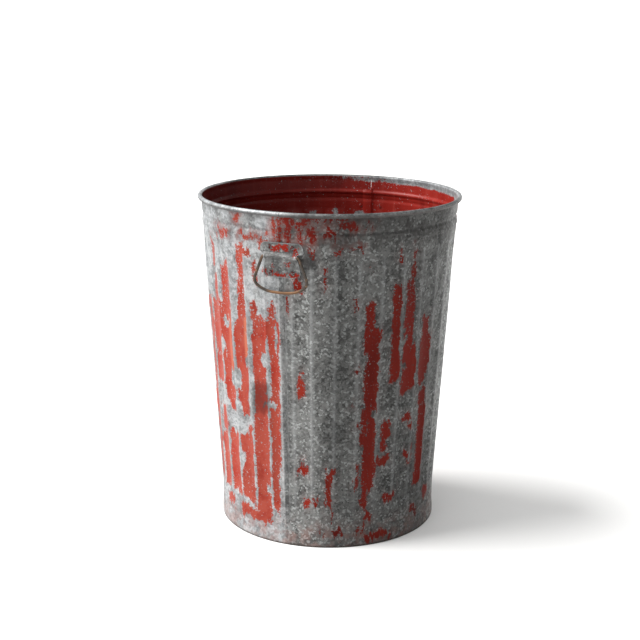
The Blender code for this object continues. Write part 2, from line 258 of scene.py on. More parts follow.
# foot grime, partly painted shade where the foot meets the floor
FOOT_GRIME_AND_SHADE = (0.03, 0.024, 0.02)
INSIDE_DIRT = (0.045, 0.032, 0.024)
BEAD_SHADE = (0.04, 0.034, 0.032)
EAR_DIRT = (0.045, 0.043, 0.042)
# Reds, as (bright, deep, faded)
OUTSIDE_REDS = ((0.268, 0.019, 0.01), (0.17, 0.011, 0.006), (0.32, 0.052, 0.03))
INSIDE_REDS = ((0.27, 0.019, 0.013), (0.185, 0.011, 0.008), (0.36, 0.07, 0.055))
RIVET_REDS = ((0.1, 0.009, 0.007), (0.04, 0.006, 0.005), (0.16, 0.03, 0.02))


# ---------- small helpers

def smoothstep(low, high, x):
    t = np.clip((x - low) / (high - low), 0.0, 1.0)
    return t * t * (3 - 2 * t)


def link_object(name, data):
    obj = bpy.data.objects.new(name, data)
    bpy.context.scene.collection.objects.link(obj)
    return obj


def add_object(name, data, body):
    obj = link_object(name, data)
    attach(obj, body)
    return obj


def set_field(mesh, key, values):
    """Store one number per vertex for the materials."""
    data = mesh.attributes.new(key, "FLOAT", "POINT").data
    data.foreach_set("value", np.array(values, np.float32))


def thicken(obj, thickness):
    """Turn a middle surface into sheet."""
    solidify = obj.modifiers.new("thickness", "SOLIDIFY")
    solidify.thickness = thickness
    solidify.offset = 0.0
    return solidify


def new_mesh(name, vertices, faces):
    mesh = bpy.data.meshes.new(name)
    mesh.from_pydata(vertices, [], faces)
    return mesh


def revolved(rings, steps):
    """Vertices and faces of a round surface through rings of (radius, z).

    A ring without a radius is one point. Faces look up where the rings run inwards.
    """
    vertices = []
    starts = []
    for radius, z in rings:
        starts.append((len(vertices), 1 if radius else 0))
        for i in range(steps if radius else 1):
            turn = math.tau * i / steps
            vertices.append((radius * math.cos(turn), radius * math.sin(turn), z))
    faces = []
    for (here, stride), (there, there_stride) in zip(starts, starts[1:]):
        for i in range(steps):
            after = (i + 1) % steps
            corners = (here + i * stride, here + after * stride,
                       there + after * there_stride, there + i * there_stride)
            faces.append(tuple(dict.fromkeys(corners)))
    return vertices, faces


def smooth_mesh(mesh, sharp_angle):
    """Shade the mesh smooth but for its sharp edges."""
    mesh.shade_smooth()
    mesh.set_sharp_from_angle(angle=math.radians(sharp_angle))


def evaluated_mesh(obj, sharp_angle):
    """A copy of the object's mesh as its modifiers or its curve settings make it."""
    depsgraph = bpy.context.evaluated_depsgraph_get()
    mesh = bpy.data.meshes.new_from_object(obj.evaluated_get(depsgraph))
    smooth_mesh(mesh, sharp_angle)
    return mesh


def bake_modifiers(obj, sharp_angle):
    mesh = evaluated_mesh(obj, sharp_angle)
    obj.modifiers.clear()
    obj.data = mesh


def crest_radius(z):
    """Outer radius of the wall's crests at height z."""
    return BASE_RADIUS + TAPER * z


def bump(z, centre, half_width, height):
    """A ring's share of the wall's profile at height z."""
    t = np.clip(abs(z - centre) / half_width, 0.0, 1.0)
    return height * (0.5 + 0.5 * math.cos(math.pi * t))


# ---------- the wall's shape

def outer_radius(z):
    """Outer radius of the wall at height z, with its foot and its rings."""
    taper = crest_radius(z)
    foot = FOOT_RADIUS + (FOOT_WAIST - FOOT_RADIUS) * float(smoothstep(*FOOT_FLARE, z))
    radius = foot + (taper - foot) * float(smoothstep(*FOOT_TO_WALL, z))
    for ring in RINGS:
        radius += bump(z, *ring)
    return radius


def flute_fraction(z):
    """Share of the flutes' depth at height z."""
    return float(smoothstep(*FLUTES_START, z) * (1 - smoothstep(*FLUTES_END, z)))


def seat_fraction(z):
    """Share of the flutes' depth in front of an ear, where they stop below its flat seat."""
    return float(1 - smoothstep(*SEATS_START, z))


def wall_rows():
    """(middle radius, z, flute fraction, seat fraction, seam state, share of dents) of each row.

    Locked rows carry the folded seam, flush rows meet edge to edge at the seam, and a trimmed
    row between them keeps its layers but ends at the flush line.
    """
    half = SHEET / 2
    rows = []

    def add(radius, z, state, dents=0.0):
        rows.append((radius, z, flute_fraction(z), seat_fraction(z), state, dents))

    corner = HEM_CORNER
    for z in (HEM_HEIGHT, 0.006, 0.003):
        add(HEM_INNER_RADIUS, z, "flush")
    for turn in (0, 30, 60, 90):
        angle = math.radians(180 + turn)
        add(HEM_INNER_RADIUS + corner + corner * math.cos(angle),
            half + corner + corner * math.sin(angle), "flush")
    for turn in (0, 30, 60, 90):
        angle = math.radians(270 + turn)
        add(FOOT_RADIUS - half - corner + corner * math.cos(angle),
            half + corner + corner * math.sin(angle), "flush")
    for z in np.linspace(0.003, 0.04, 22):
        add(outer_radius(z) - half, z, "flush", 0.3 * float(smoothstep(0.006, 0.04, z)))
    add(outer_radius(0.0435) - half, 0.0435, "trimmed", 0.3)
    heights = list(np.linspace(LOCK_LOW, 0.1, 16))
    heights += list(np.linspace(0.1, 0.568, 104))[1:]
    heights += list(np.linspace(0.568, LOCK_HIGH, 40))[1:]
    for z in heights:
        share = 0.3 + 0.7 * float(smoothstep(0.045, 0.12, z) * (1 - smoothstep(0.54, 0.6, z)))
        add(outer_radius(z) - half, z, "locked", share)
    add(outer_radius(0.6315) - half, 0.6315, "trimmed", 0.3)
    for z in (0.635, 0.638, 0.64, 0.642, 0.645, 0.648, 0.651):
        add(outer_radius(z) - half, z, "flush", 0.3 * float(1 - smoothstep(0.635, 0.65, z)))
    middle = CURL_RADIUS - half
    for angle in np.linspace(180, -125, 19):
        turn = math.radians(angle)
        radius = RIM_RADIUS - CURL_RADIUS + middle * math.cos(turn)
        add(radius, HEIGHT - CURL_RADIUS + middle * math.sin(turn), "flush")
    return rows


def wall_columns():
    """(angle, layers inward, flute fraction, seat column, flush angle, crest) of each column."""
    columns = []

    def add_seam(angle, layers, flush_angle=None, crest=0):
        columns.append((angle, layers, 0, False, flush_angle, crest))

    for facts in LAP_COLUMNS:
        add_seam(*facts)
    crests = [LAP_CREST]
    crests += [FIRST_CREST + FLUTE_PITCH * k for k in range(1, FLUTES_PER_HALF + 1)]
    crests.append(180 + TUCK_CREST)
    for left, right in zip(crests, crests[1:]):
        seat = right < SEAT_ANGLE or left > 180 - SEAT_ANGLE
        for step in FLUTE_STEPS:
            angle = left + (right - left) * step
            near_crest = max(0.0, 1 - min(step, 1 - step) / 0.13)
            columns.append((angle, 0, 4 * step * (1 - step), seat, angle, near_crest))
    last = crests[-1]
    add_seam(last, 0, last, 1)
    for past, layers, flush_past in TUCK_BEND:
        add_seam(last + past, layers, last + flush_past)
    for facts in TUCK_COLUMNS:
        add_seam(*facts)
    return columns


def dent(angle, z):
    """Slow waves and knocks in the sheet, in metres, none of them under an ear."""
    turn = math.radians(angle)
    place = Vector((math.cos(turn) * 1.7, math.sin(turn) * 1.7, z * 6.0))
    waves = 0.0009 * noise.noise(place) + 0.0005 * noise.noise(place * 2.9)
    seam_distance = abs((angle + 90) % 180 - 90)
    under_ear = float(1 - smoothstep(10.0, 16.0, seam_distance)) * float(smoothstep(0.49, 0.53, z))
    return waves * (1 - under_ear)


def bar_distance(across, z, bars, metres_across=1.0):
    """Metres inside the nearest bar, or minus the metres outside it."""
    best = np.full(np.shape(across), -1.0)
    for first, last, low, high in bars:
        wide = across - (first + last) / 2
        if np.ndim(metres_across):
            wide = (wide + 180) % 360 - 180
        beside = (np.abs(wide) - (last - first) / 2) * metres_across
        above = np.maximum(low - z, z - high)
        outside = np.hypot(np.maximum(beside, 0), np.maximum(above, 0))
        inside = np.minimum(np.maximum(beside, above), 0)
        best = np.maximum(best, -(outside + inside))
    return best


def hidden_bars():
    """Paint on the side that the photograph doesn't show, in the same ragged strips."""
    dice = random.Random(11)
    bars = []
    for k in range(HIDDEN_STRIPS):
        first = HIDDEN_START + FLUTE_PITCH * k
        share = 0.5 + 0.5 * math.sin(math.radians(first * 2.3 + 40))
        for level in range(4):
            if dice.random() > 0.3 + 0.62 * share:
                continue
            low = 0.07 + 0.125 * level + dice.uniform(-0.03, 0.03)
            high = low + dice.uniform(0.06, 0.15)
            left = first + dice.uniform(0.4, 2.5)
            right = first + FLUTE_PITCH - dice.uniform(0.4, 3.5)
            middle = (left + right) / 2 + dice.uniform(-1.8, 1.8)
            for side in ((left, middle), (middle, right)):
                bottom = low + dice.uniform(-0.03, 0.03)
                top = min(high + dice.uniform(-0.04, 0.04), 0.575)
                bars.append((*side, bottom, top))
    for k in range(HIDDEN_PATCHES):
        first = HIDDEN_START + 17 * k + dice.uniform(-6, 6)
        low = dice.uniform(0.598, 0.634)
        bars.append((first, first + dice.uniform(2, 9), low, low + dice.uniform(0.008, 0.026)))
    return tuple(bars)


def torn(angle, z):
    """Angle and height pushed about, so that flakes end at ragged heights and lean a little."""
    moved = []
    for a, h in zip(angle, z):
        turn = math.radians(a)
        x, y = math.cos(turn), math.sin(turn)
        sideways = noise.noise(Vector((x * 9, y * 9, h * 22)))
        ends = noise.noise(Vector((x * 34, y * 34, h * 16 + 7)))
        ends += 0.6 * noise.noise(Vector((x * 80, y * 80, h * 30 + 3)))
        moved.append((a + 0.7 * sideways, h + 0.014 * ends))
    return np.array(moved).T


def on_bead(radius, z):
    return (radius > RIM_RADIUS - CURL_RADIUS) | (z > BEAD_START)


def paint_fields(angle, z, radius):
    """How deep each point lies in the outer and the inner paint, in centimetres."""
    metres = crest_radius(z) * math.pi / 180
    torn_angle, torn_z = torn(angle, z)
    painted = bar_distance(torn_angle, torn_z, PAINT_BARS + hidden_bars(), metres)
    bare = bar_distance(torn_angle, torn_z, BARE_BARS, metres)
    outer = np.minimum(painted + 0.0008, -1.6 * bare)
    lip = smoothstep(0.638, 0.651, z) * (0.45 + 0.55 * inner_light_and_wear(angle))
    inner = np.minimum(0.01, -bar_distance(angle, z, BARE_INSIDE, metres)) - 0.018 * lip
    inner = np.where(on_bead(radius, z), -0.02, inner)
    return np.clip(outer * 100, -2.0, 1.5), np.clip(inner * 100, -2.0, 1.5)


def stains_and_shadows(angle, z):
    """1 in the dark stains and painted shadows, -1 in the pale streaks, with soft edges."""
    metres = crest_radius(z) * math.pi / 180
    angle, z = torn(angle, z)
    dark = smoothstep(-0.012, 0.01, bar_distance(angle, z, STAINS_AND_SHADOWS, metres))
    return dark - smoothstep(-0.006, 0.004, bar_distance(angle, z, PALE_STREAKS, metres))


def inner_light_and_wear(angle):
    """Painted light inside, dark behind the front left wall, bright behind the right; also lip wear.
    """
    signed = (angle + 180) % 360 - 180
    return np.cos(np.radians(signed - 105))


def bead_painted_light(angle):
    """Painted light on the rim's bead: bright at the front left, greyer at the back right, dark
    between.
    """
    signed = (angle + 180) % 360 - 180
    front_left = smoothstep(-112, -88, signed) * (1 - smoothstep(-8, 14, signed))
    back_right = 0.6 * smoothstep(84, 112, signed) * (1 - smoothstep(160, 180, signed))
    return 2 * np.maximum(front_left, back_right) - 1


def outside_cleanness_and_light(angle):
    """1 where pale and clean, 0 where weathered, -1 where grimy; also painted light: lit left, shaded
    right.
    """
    signed = (angle + 180) % 360 - 180
    front_left = smoothstep(-105, -80, signed) * (1 - smoothstep(-6, 3, signed))
    right = 0.15 * smoothstep(72, 86, signed) * (1 - smoothstep(110, 135, signed))
    hidden = 0.35 + 0.35 * np.sin(np.radians(angle * 5 + 20))
    hidden = hidden * smoothstep(110, 140, angle) * (1 - smoothstep(240, 262, angle))
    grimy_and_shaded = smoothstep(6, 30, signed) * (1 - smoothstep(78, 100, signed))
    return np.maximum(np.maximum(front_left, right), hidden) - grimy_and_shaded


def sheet_mesh(name, half_turn):
    """Middle surface of one half sheet, and (angle, z, crest share, radius) of each vertex."""
    rows = wall_rows()
    columns = wall_columns()
    vertices = []
    index = {}
    facts = []
    for j, (radius, z, flute, seat, state, dents) in enumerate(rows):
        for i, (angle, layers, depth, is_seat, flush_angle, crest) in enumerate(columns):
            if state != "locked":
                if flush_angle is None:
                    continue
                if state == "trimmed":
                    angle = min(angle, flush_angle) if angle > 90 else flush_angle
                else:
                    angle = flush_angle
                    layers = 0
            r = radius - FLUTE_DEPTH * flute * depth * (seat if is_seat else 1) - LAYER * layers
            whole_angle = angle + half_turn
            if dents:
                r += dents * dent(whole_angle, z)
            turn = math.radians(whole_angle - 90)
            index[i, j] = len(vertices)
            vertices.append((r * math.cos(turn), r * math.sin(turn), z))
            facts.append((whole_angle, z, crest * flute, r))
    faces = []
    for j in range(len(rows) - 1):
        for i in range(len(columns) - 1):
            corners = [index.get(key) for key in ((i, j), (i + 1, j), (i + 1, j + 1), (i, j + 1))]
            if None not in corners:
                faces.append(corners)
    return new_mesh(name, vertices, faces), np.array(facts).T


def set_wall_fields(mesh, angle, z, crest, radius):
    """Store where the paint, the stains, the wear and the painted light and shade lie."""
    outer, inner = paint_fields(angle, z, radius)
    clean_inner = inner_light_and_wear(angle)
    bead = on_bead(radius, z)
    shade = 1 - smoothstep(HEIGHT - 0.0058, HEIGHT - 0.0026, z)
    set_field(mesh, "paint_outer", outer)
    set_field(mesh, "paint_inner", inner)
    set_field(mesh, "crest", crest)
    set_field(mesh, "clean", outside_cleanness_and_light(angle))
    set_field(mesh, "clean_inner", clean_inner)
    set_field(mesh, "clean_inner_metal", np.where(bead, bead_painted_light(angle), clean_inner))
    set_field(mesh, "stain", stains_and_shadows(angle, z))
    set_field(mesh, "under_bead", shade * (radius > RIM_RADIUS - CURL_RADIUS))


def make_half_sheet(name, half_turn):
    """One half sheet. half_turn is 0 for the +X half and 180 for the other."""
    mesh, facts = sheet_mesh(name, half_turn)
    set_wall_fields(mesh, *facts)
    sheet = add_object(name, mesh, "can")
    solidify = thicken(sheet, SHEET)
    solidify.material_offset = 1
    solidify.material_offset_rim = 0
    mesh.materials.append(OUTSIDE)
    mesh.materials.append(INSIDE)
    bake_modifiers(sheet, 50)
    return sheet


# ---------- node-graph helpers

class Graph:
    """Short names for the shader nodes of one material."""

    def __init__(self, name):
        self.material = bpy.data.materials.new(name)
        self.material.use_nodes = True
        self.tree = self.material.node_tree
        self.shader = self.tree.nodes["Principled BSDF"]
        self.shader.inputs["Specular IOR Level"].default_value = 0.05
        self.place = self.node("ShaderNodeTexCoord").outputs["Object"]

    def put(self, socket, value):
        """Link the socket to the value, or set it to the value if that is a constant."""
        if isinstance(value, bpy.types.NodeSocket):
            self.tree.links.new(value, socket)
        elif isinstance(value, tuple) and len(value) == 3 and socket.type == "RGBA":
            socket.default_value = (*value, 1.0)
        else:
            socket.default_value = value

    def node(self, kind, inputs=(), **settings):
        """A node with its settings, and its inputs as (name or number, value)."""
        node = self.tree.nodes.new(kind)
        for key, value in settings.items():
            setattr(node, key, value)
        for key, value in inputs:
            self.put(node.inputs[key], value)
        return node

    def math(self, operation, a, b=0.0, clamp=False):
        inputs = ((0, a), (1, b))
        return self.node("ShaderNodeMath", inputs, operation=operation, use_clamp=clamp).outputs[0]

    def plus(self, a, b, clamp=False):
        return self.math("ADD", a, b, clamp)

    def minus(self, a, b):
        return self.math("SUBTRACT", a, b)

    def times(self, a, b, clamp=False):
        return self.math("MULTIPLY", a, b, clamp)

    def attribute(self, name):
        return self.node("ShaderNodeAttribute", attribute_name=name).outputs["Fac"]

    def stretched(self, scale):
        inputs = (("Vector", self.place), ("Scale", scale))
        return self.node("ShaderNodeMapping", inputs).outputs["Vector"]

    def noise(self, scale, detail=4.0, roughness=0.55, stretch=None):
        vector = self.stretched(stretch) if stretch else self.place
        inputs = (("Vector", vector), ("Scale", scale), ("Detail", detail), ("Roughness", roughness))
        return self.node("ShaderNodeTexNoise", inputs).outputs["Fac"]

    def resized(self, vector, share):
        """The vector or colour, times share."""
        inputs = ((0, vector), ("Scale", share))
        return self.node("ShaderNodeVectorMath", inputs, operation="SCALE").outputs[0]

    def warped(self, scale, amount):
        """The object's place pushed about by noise, so that cells lose their straight sides."""
        inputs = (("Vector", self.place), ("Scale", scale), ("Detail", 2.0))
        colour = self.node("ShaderNodeTexNoise", inputs).outputs["Color"]
        inputs = ((0, self.place), (1, self.resized(colour, amount)))
        return self.node("ShaderNodeVectorMath", inputs, operation="ADD").outputs[0]

    def cells(self, scale, vector):
        """Two random greys for each crystal-like cell."""
        node = self.node("ShaderNodeTexVoronoi", (("Vector", vector), ("Scale", scale)))
        split = self.node("ShaderNodeSeparateColor", ((0, node.outputs["Color"]),))
        return split.outputs[0], split.outputs[1]

    def ramp(self, value, low, high, start=0.0, end=1.0):
        """From start to end, smoothly, as the value goes from low to high."""
        inputs = (("Value", value), ("From Min", low), ("From Max", high), ("To Min", start),
                  ("To Max", end))
        return self.node("ShaderNodeMapRange", inputs, interpolation_type="SMOOTHSTEP").outputs[0]

    def mix(self, share, a, b):
        """Colour a, or colour b where share is 1."""
        inputs = (("Factor", share), ("A", a), ("B", b))
        return self.node("ShaderNodeMix", inputs, data_type="RGBA").outputs["Result"]

    def blend(self, share, a, b):
        """Number a, or number b where share is 1."""
        inputs = ((0, share), (2, a), (3, b))
        return self.node("ShaderNodeMix", inputs, data_type="FLOAT").outputs[0]

    def height(self):
        return self.node("ShaderNodeSeparateXYZ", ((0, self.place),)).outputs["Z"]

    def finish(self, colour, roughness, metallic, relief=None, distance=0.0003, strength=0.6):
        """The finished material. A relief of 1 is a bump as high as distance."""
        self.put(self.shader.inputs["Base Color"], colour)
        self.put(self.shader.inputs["Roughness"], roughness)
        self.put(self.shader.inputs["Metallic"], metallic)
        if relief is not None:
            inputs = (("Strength", strength), ("Distance", distance), ("Height", relief))
            normal = self.node("ShaderNodeBump", inputs).outputs["Normal"]
            self.put(self.shader.inputs["Normal"], normal)
        return self.material


def zinc(graph, clean):
    """Galvanising: dull crystal spangle with bright flecks, smoother and paler where clean and where
    painted as lit.
    """
    wide, _ = graph.cells(95.0, graph.warped(70.0, 0.01))
    fine, sparkle = graph.cells(270.0, graph.warped(180.0, 0.0045))
    clouds = graph.noise(13.0, 5.0, 0.6)
    streaks = graph.noise(45.0, 4.0, 0.6, stretch=(1.0, 1.0, 0.05))
    grain = graph.noise(420.0, 3.0, 0.65)
    tone = graph.plus(graph.times(wide, 0.24), graph.times(fine, 0.26))
    tone = graph.plus(tone, graph.times(graph.ramp(clouds, 0.32, 0.68), 0.22))
    tone = graph.plus(tone, graph.times(graph.ramp(streaks, 0.3, 0.7), 0.14))
    tone = graph.plus(tone, graph.times(grain, 0.22), clamp=True)
    weathered = graph.mix(graph.ramp(tone, 0.2, 0.85), ZINC_DARK, ZINC_LIGHT)
    bright = graph.times(graph.ramp(sparkle, 0.74, 0.9), graph.ramp(clouds, 0.3, 0.56, 0.25, 1.0))
    weathered = graph.mix(graph.times(bright, 0.55), weathered, ZINC_FLECK)
    smooth = graph.mix(graph.ramp(tone, 0.25, 0.85), CLEAN_ZINC_DARK, CLEAN_ZINC_LIGHT)
    return graph.mix(clean, weathered, smooth), tone


def shaded_and_grimed(graph, colour, clean, darkest, top=0.1):
    """Darker the further the value is below top: painted shade, and on the outside grime as well."""
    return graph.resized(colour, graph.ramp(clean, -1.0, top, darkest, 1.0))


def ragged(graph, field, reach=1.0):
    """The field with its zero line torn by noise at three scales."""
    total = field
    for scale, detail, stretch, amount in ((42.0, 5.0, (1.0, 1.0, 0.45), 1.2),
                                           (130.0, 5.0, (1.0, 1.0, 0.6), 1.6),
                                           (400.0, 3.0, (1.0, 1.0, 0.8), 1.4)):
        shift = graph.minus(graph.noise(scale, detail, 0.62, stretch=stretch), 0.5)
        total = graph.plus(total, graph.times(shift, amount * reach))
    return total


def red_paint(graph, bright, deep, faded):
    """Old red enamel: patchy, streaked down the wall and faded in places."""
    patches = graph.noise(9.0, 4.0, 0.55, stretch=(1.0, 1.0, 0.5))
    streaks = graph.noise(60.0, 4.0, 0.6, stretch=(1.0, 1.0, 0.05))
    chalk = graph.noise(150.0, 5.0, 0.7)
    smudges = graph.ramp(graph.noise(6.5, 5.0, 0.65), 0.58, 0.74, 0.0, 0.65)
    colour = graph.mix(graph.ramp(patches, 0.32, 0.66), deep, bright)
    colour = graph.mix(smudges, colour, (deep[0] * 0.5, deep[1] * 0.6, deep[2] * 0.7))
    colour = graph.mix(graph.times(graph.ramp(streaks, 0.5, 0.74), 0.35), colour, faded)
    return graph.mix(graph.times(graph.ramp(chalk, 0.56, 0.8), 0.3), colour, faded)


def painted_metal(graph, metal, tone, total, paint, paint_roughness=0.43, chipping=0.05):
    """Colour, roughness, metallic and relief of zinc with paint where total is above zero.

    The paint is thin near its torn edge. Chipping adds chips on the can's upper part.
    """
    chips = graph.plus(graph.noise(260.0, 3.0, 0.6), graph.ramp(total, 0.0, 0.7, 0.07, 0.0))
    chips = graph.plus(chips, graph.ramp(graph.height(), 0.4, 0.5, 0.0, chipping))
    chips = graph.ramp(chips, 0.64, 0.662, 1.0, 0.0)
    mask = graph.times(graph.ramp(total, -0.03, 0.05), chips)
    thin = graph.ramp(total, 0.02, 0.22, 1.0, 0.0)
    faint = graph.mix(0.3, paint, metal)
    paint = graph.mix(thin, paint, faint)
    colour = graph.mix(mask, metal, paint)
    roughness = graph.blend(mask, graph.ramp(tone, 0.1, 0.9, 0.58, 0.42), paint_roughness)
    metallic = graph.times(graph.minus(1.0, mask), 0.3)
    relief = graph.plus(graph.times(mask, 0.6), graph.times(graph.noise(300.0, 4.0, 0.6), 0.5))
    return colour, roughness, metallic, relief


def make_outside():
    graph = Graph("worn_red_over_zinc")
    field = graph.attribute("paint_outer")
    crest = graph.attribute("crest")
    patchy = graph.ramp(graph.noise(30.0, 4.0, 0.6), 0.34, 0.56, 0.35, 1.0)
    cleanness_and_light_here = graph.attribute("clean")
    clean = graph.times(cleanness_and_light_here, patchy)
    metal, tone = zinc(graph, clean)
    rubbed = graph.times(crest, graph.ramp(graph.noise(48.0, 4.0, 0.6), 0.44, 0.6))
    metal = graph.mix(graph.times(crest, 0.32), metal, RUBBED_ZINC)
    total = graph.minus(ragged(graph, field), graph.times(rubbed, 0.9))
    # reddish smears on the foot, reddish dust near the paint, and soot with painted rim shade on the
    # upper band
    foot = graph.ramp(graph.height(), 0.02, 0.07, 1.0, 0.0)
    smear = graph.times(foot, graph.ramp(graph.noise(50.0, 5.0, 0.65), 0.4, 0.62, 0.0, 0.45))
    metal = graph.mix(smear, metal, RED_SMEAR)
    on_band = graph.ramp(graph.height(), 0.59, 0.606, 0.12, 1.0)
    dusty = graph.times(graph.ramp(field, -1.7, 0.0, 0.0, 0.75), on_band)
    dusty = graph.times(dusty, graph.ramp(graph.noise(55.0, 5.0, 0.65), 0.34, 0.62))
    metal = graph.mix(dusty, metal, RED_DUST)
    soot_and_rim_shade = graph.times(graph.ramp(graph.height(), 0.585, 0.61),
                       graph.ramp(graph.noise(22.0, 5.0, 0.62), 0.36, 0.6, 0.2, 0.65))
    soot_and_rim_shade = graph.times(soot_and_rim_shade, graph.ramp(cleanness_and_light_here, 0.0, 1.0, 1.0, 0.3))
    metal = graph.mix(soot_and_rim_shade, metal, SOOT_AND_RIM_SHADE)
    paint = red_paint(graph, *OUTSIDE_REDS)
    # paler red on the lit front left: painted sheen, partly fading
    paint = graph.mix(graph.times(clean, 0.6, clamp=True), paint, FADED_SHEEN_RED)
    paint = graph.mix(soot_and_rim_shade, paint, SOOTY_SHADED_RED)
    # dark stains with painted shadow beside the front ear, and pale streaks on the paint
    stain = graph.attribute("stain")
    dark = graph.times(graph.ramp(stain, 0.0, 1.0),
                       graph.ramp(graph.noise(60.0, 5.0), 0.25, 0.6, 0.55, 0.95))
    metal = graph.mix(dark, metal, STAIN_AND_SHADOW)
    paint = graph.mix(dark, paint, STAINED_AND_SHADOWED_RED)
    paint = graph.mix(graph.ramp(stain, 0.0, -1.0, 0.0, 0.4), paint, PALE_RED)
    # painted shade darkens the shaded right side, partly grime; the lit front left stays pale
    paint = shaded_and_grimed(graph, paint, cleanness_and_light_here, 0.35, 0.6)
    metal = shaded_and_grimed(graph, metal, cleanness_and_light_here, 0.46)
    colour, roughness, metallic, relief = painted_metal(graph, metal, tone, total, paint)
    # darker at the very bottom: foot grime, partly painted shade where the foot meets the floor
    foot_grime_and_shade = graph.ramp(graph.height(), 0.0005, 0.006, 0.85, 0.0)
    colour = graph.mix(foot_grime_and_shade, colour, FOOT_GRIME_AND_SHADE)
    return graph.finish(colour, roughness, metallic, relief, 0.0004)


def make_inside():
    graph = Graph("worn_red_inside")
    graph.shader.inputs["Specular IOR Level"].default_value = 0.16
    # painted light inside: paler, brighter zinc on the lit right wall and lit parts of the bead
    metal_painted_light = graph.attribute("clean_inner_metal")
    metal, tone = zinc(graph, graph.ramp(metal_painted_light, -1.0, 1.0, 0.35, 1.0))
    metal = shaded_and_grimed(graph, metal, metal_painted_light, 0.5, 0.8)
    total = ragged(graph, graph.attribute("paint_inner"), 0.8)
    worn = graph.ramp(graph.noise(16.0, 6.0, 0.65, stretch=(1.0, 1.0, 0.35)), 0.6, 0.74, 0.0, 1.4)
    total = graph.minus(total, worn)
    total = graph.minus(total, graph.ramp(graph.height(), 0.02, 0.34, 1.1, 0.0))
    paint = red_paint(graph, *INSIDE_REDS)
    # painted shade darkens the inside paint behind the front left wall
    paint = shaded_and_grimed(graph, paint, graph.attribute("clean_inner"), 0.28, 0.9)
    colour, roughness, metallic, relief = painted_metal(graph, metal, tone, total, paint, 0.3, -0.02)
    dirt = graph.times(graph.ramp(graph.height(), 0.03, 0.4, 0.8, 0.0),
                       graph.ramp(graph.noise(20.0, 5.0, 0.6), 0.3, 0.7, 0.4, 1.0))
    colour = graph.mix(dirt, colour, INSIDE_DIRT)
    shade = graph.times(graph.attribute("under_bead"), 0.8)
    colour = graph.mix(shade, colour, BEAD_SHADE)
    return graph.finish(colour, roughness, metallic, relief, strength=0.5)


def make_ear_material():
    graph = Graph("worn_zinc_ear")
    metal, tone = zinc(graph, 0.12)
    dirt = graph.ramp(graph.noise(75.0, 5.0, 0.65), 0.4, 0.6, 0.1, 0.7)
    metal = graph.mix(dirt, metal, EAR_DIRT)
    total = ragged(graph, graph.attribute("paint_outer"), 0.75)
    paint = red_paint(graph, *OUTSIDE_REDS)
    colour, roughness, metallic, relief = painted_metal(graph, metal, tone, total, paint)
    # painted highlight along the ear's edges, partly rubbed wear
    edge = graph.ramp(graph.attribute("crest"), 0.3, 0.9, 0.0, 0.6)
    colour = graph.mix(edge, colour, EDGE_HIGHLIGHT_AND_WEAR)
    return graph.finish(colour, roughness, metallic, relief)


def make_rivet_material():
    graph = Graph("paint_clogged_rivet")
    metal, tone = zinc(graph, 0.0)
    total = graph.ramp(graph.noise(210.0, 4.0, 0.6), 0.34, 0.66, 1.0, -0.5)
    tail = graph.attribute("tail")
    paint = graph.mix(tail, red_paint(graph, *RIVET_REDS), TAIL_RED)
    total = graph.plus(total, graph.times(tail, 2.0))
    colour, roughness, metallic, relief = painted_metal(graph, metal, tone, total, paint)
    return graph.finish(colour, roughness, metallic, relief, strength=0.7)


def make_bail_material():
    graph = Graph("rusty_bronze_wire")
    rust = graph.noise(120.0, 6.0, 0.68)
    patches = graph.noise(38.0, 3.0, 0.55)
    pits = graph.noise(700.0, 3.0, 0.7)
    across = graph.node("ShaderNodeSeparateXYZ", ((0, graph.place),)).outputs["X"]
    worn_side = graph.ramp(graph.math("ABSOLUTE", across), 0.01, 0.045, 0.35, 0.0)
    patches = graph.minus(patches, worn_side)
    colour = graph.mix(graph.ramp(patches, 0.22, 0.5), (0.15, 0.082, 0.046), (0.062, 0.053, 0.046))
    colour = graph.mix(graph.ramp(rust, 0.5, 0.7, 0.0, 0.8), colour, (0.235, 0.14, 0.085))
    colour = graph.mix(graph.ramp(pits, 0.6, 0.76, 0.0, 0.6), colour, (0.03, 0.02, 0.014))
    roughness = graph.ramp(rust, 0.3, 0.7, 0.36, 0.62)
    relief = graph.plus(graph.times(pits, 0.6), rust)
    return graph.finish(colour, roughness, 0.65, relief, strength=0.7)


def make_pan_material():
    graph = Graph("dirty_zinc_bottom")
    metal, tone = zinc(graph, graph.ramp(graph.noise(9.0, 4.0, 0.6), 0.4, 0.62, 0.0, 0.5))
    rust = graph.ramp(graph.noise(24.0, 6.0, 0.7), 0.5, 0.66, 0.0, 0.85)
    colour = graph.mix(rust, metal, (0.105, 0.046, 0.022))
    stain = graph.ramp(graph.noise(7.0, 5.0, 0.65), 0.42, 0.66, 0.0, 0.7)
    colour = graph.mix(stain, colour, (0.05, 0.04, 0.032))
    roughness = graph.ramp(tone, 0.1, 0.9, 0.7, 0.5)
    relief = graph.plus(rust, graph.noise(260.0, 4.0, 0.6))
    return graph.finish(colour, roughness, 0.25, relief, 0.0005)


def make_wire_material():
    graph = Graph("dark_steel_wire")
    grain = graph.noise(160.0, 5.0, 0.65)
    colour = graph.mix(graph.ramp(grain, 0.4, 0.62), (0.055, 0.048, 0.042), (0.125, 0.085, 0.06))
    roughness = graph.ramp(grain, 0.3, 0.7, 0.45, 0.7)
    return graph.finish(colour, roughness, 0.55, grain)


OUTSIDE = make_outside()
INSIDE = make_inside()

# ---------- the sheets

SHEET_PIECES = (("half_sheet_right", "body_half_right", 0), ("half_sheet_left", "body_half_left", 180))
for piece_name, node, half_turn in SHEET_PIECES:
    piece = make_half_sheet(piece_name, half_turn)
    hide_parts(node)


# ---------- ears, rivets and bails

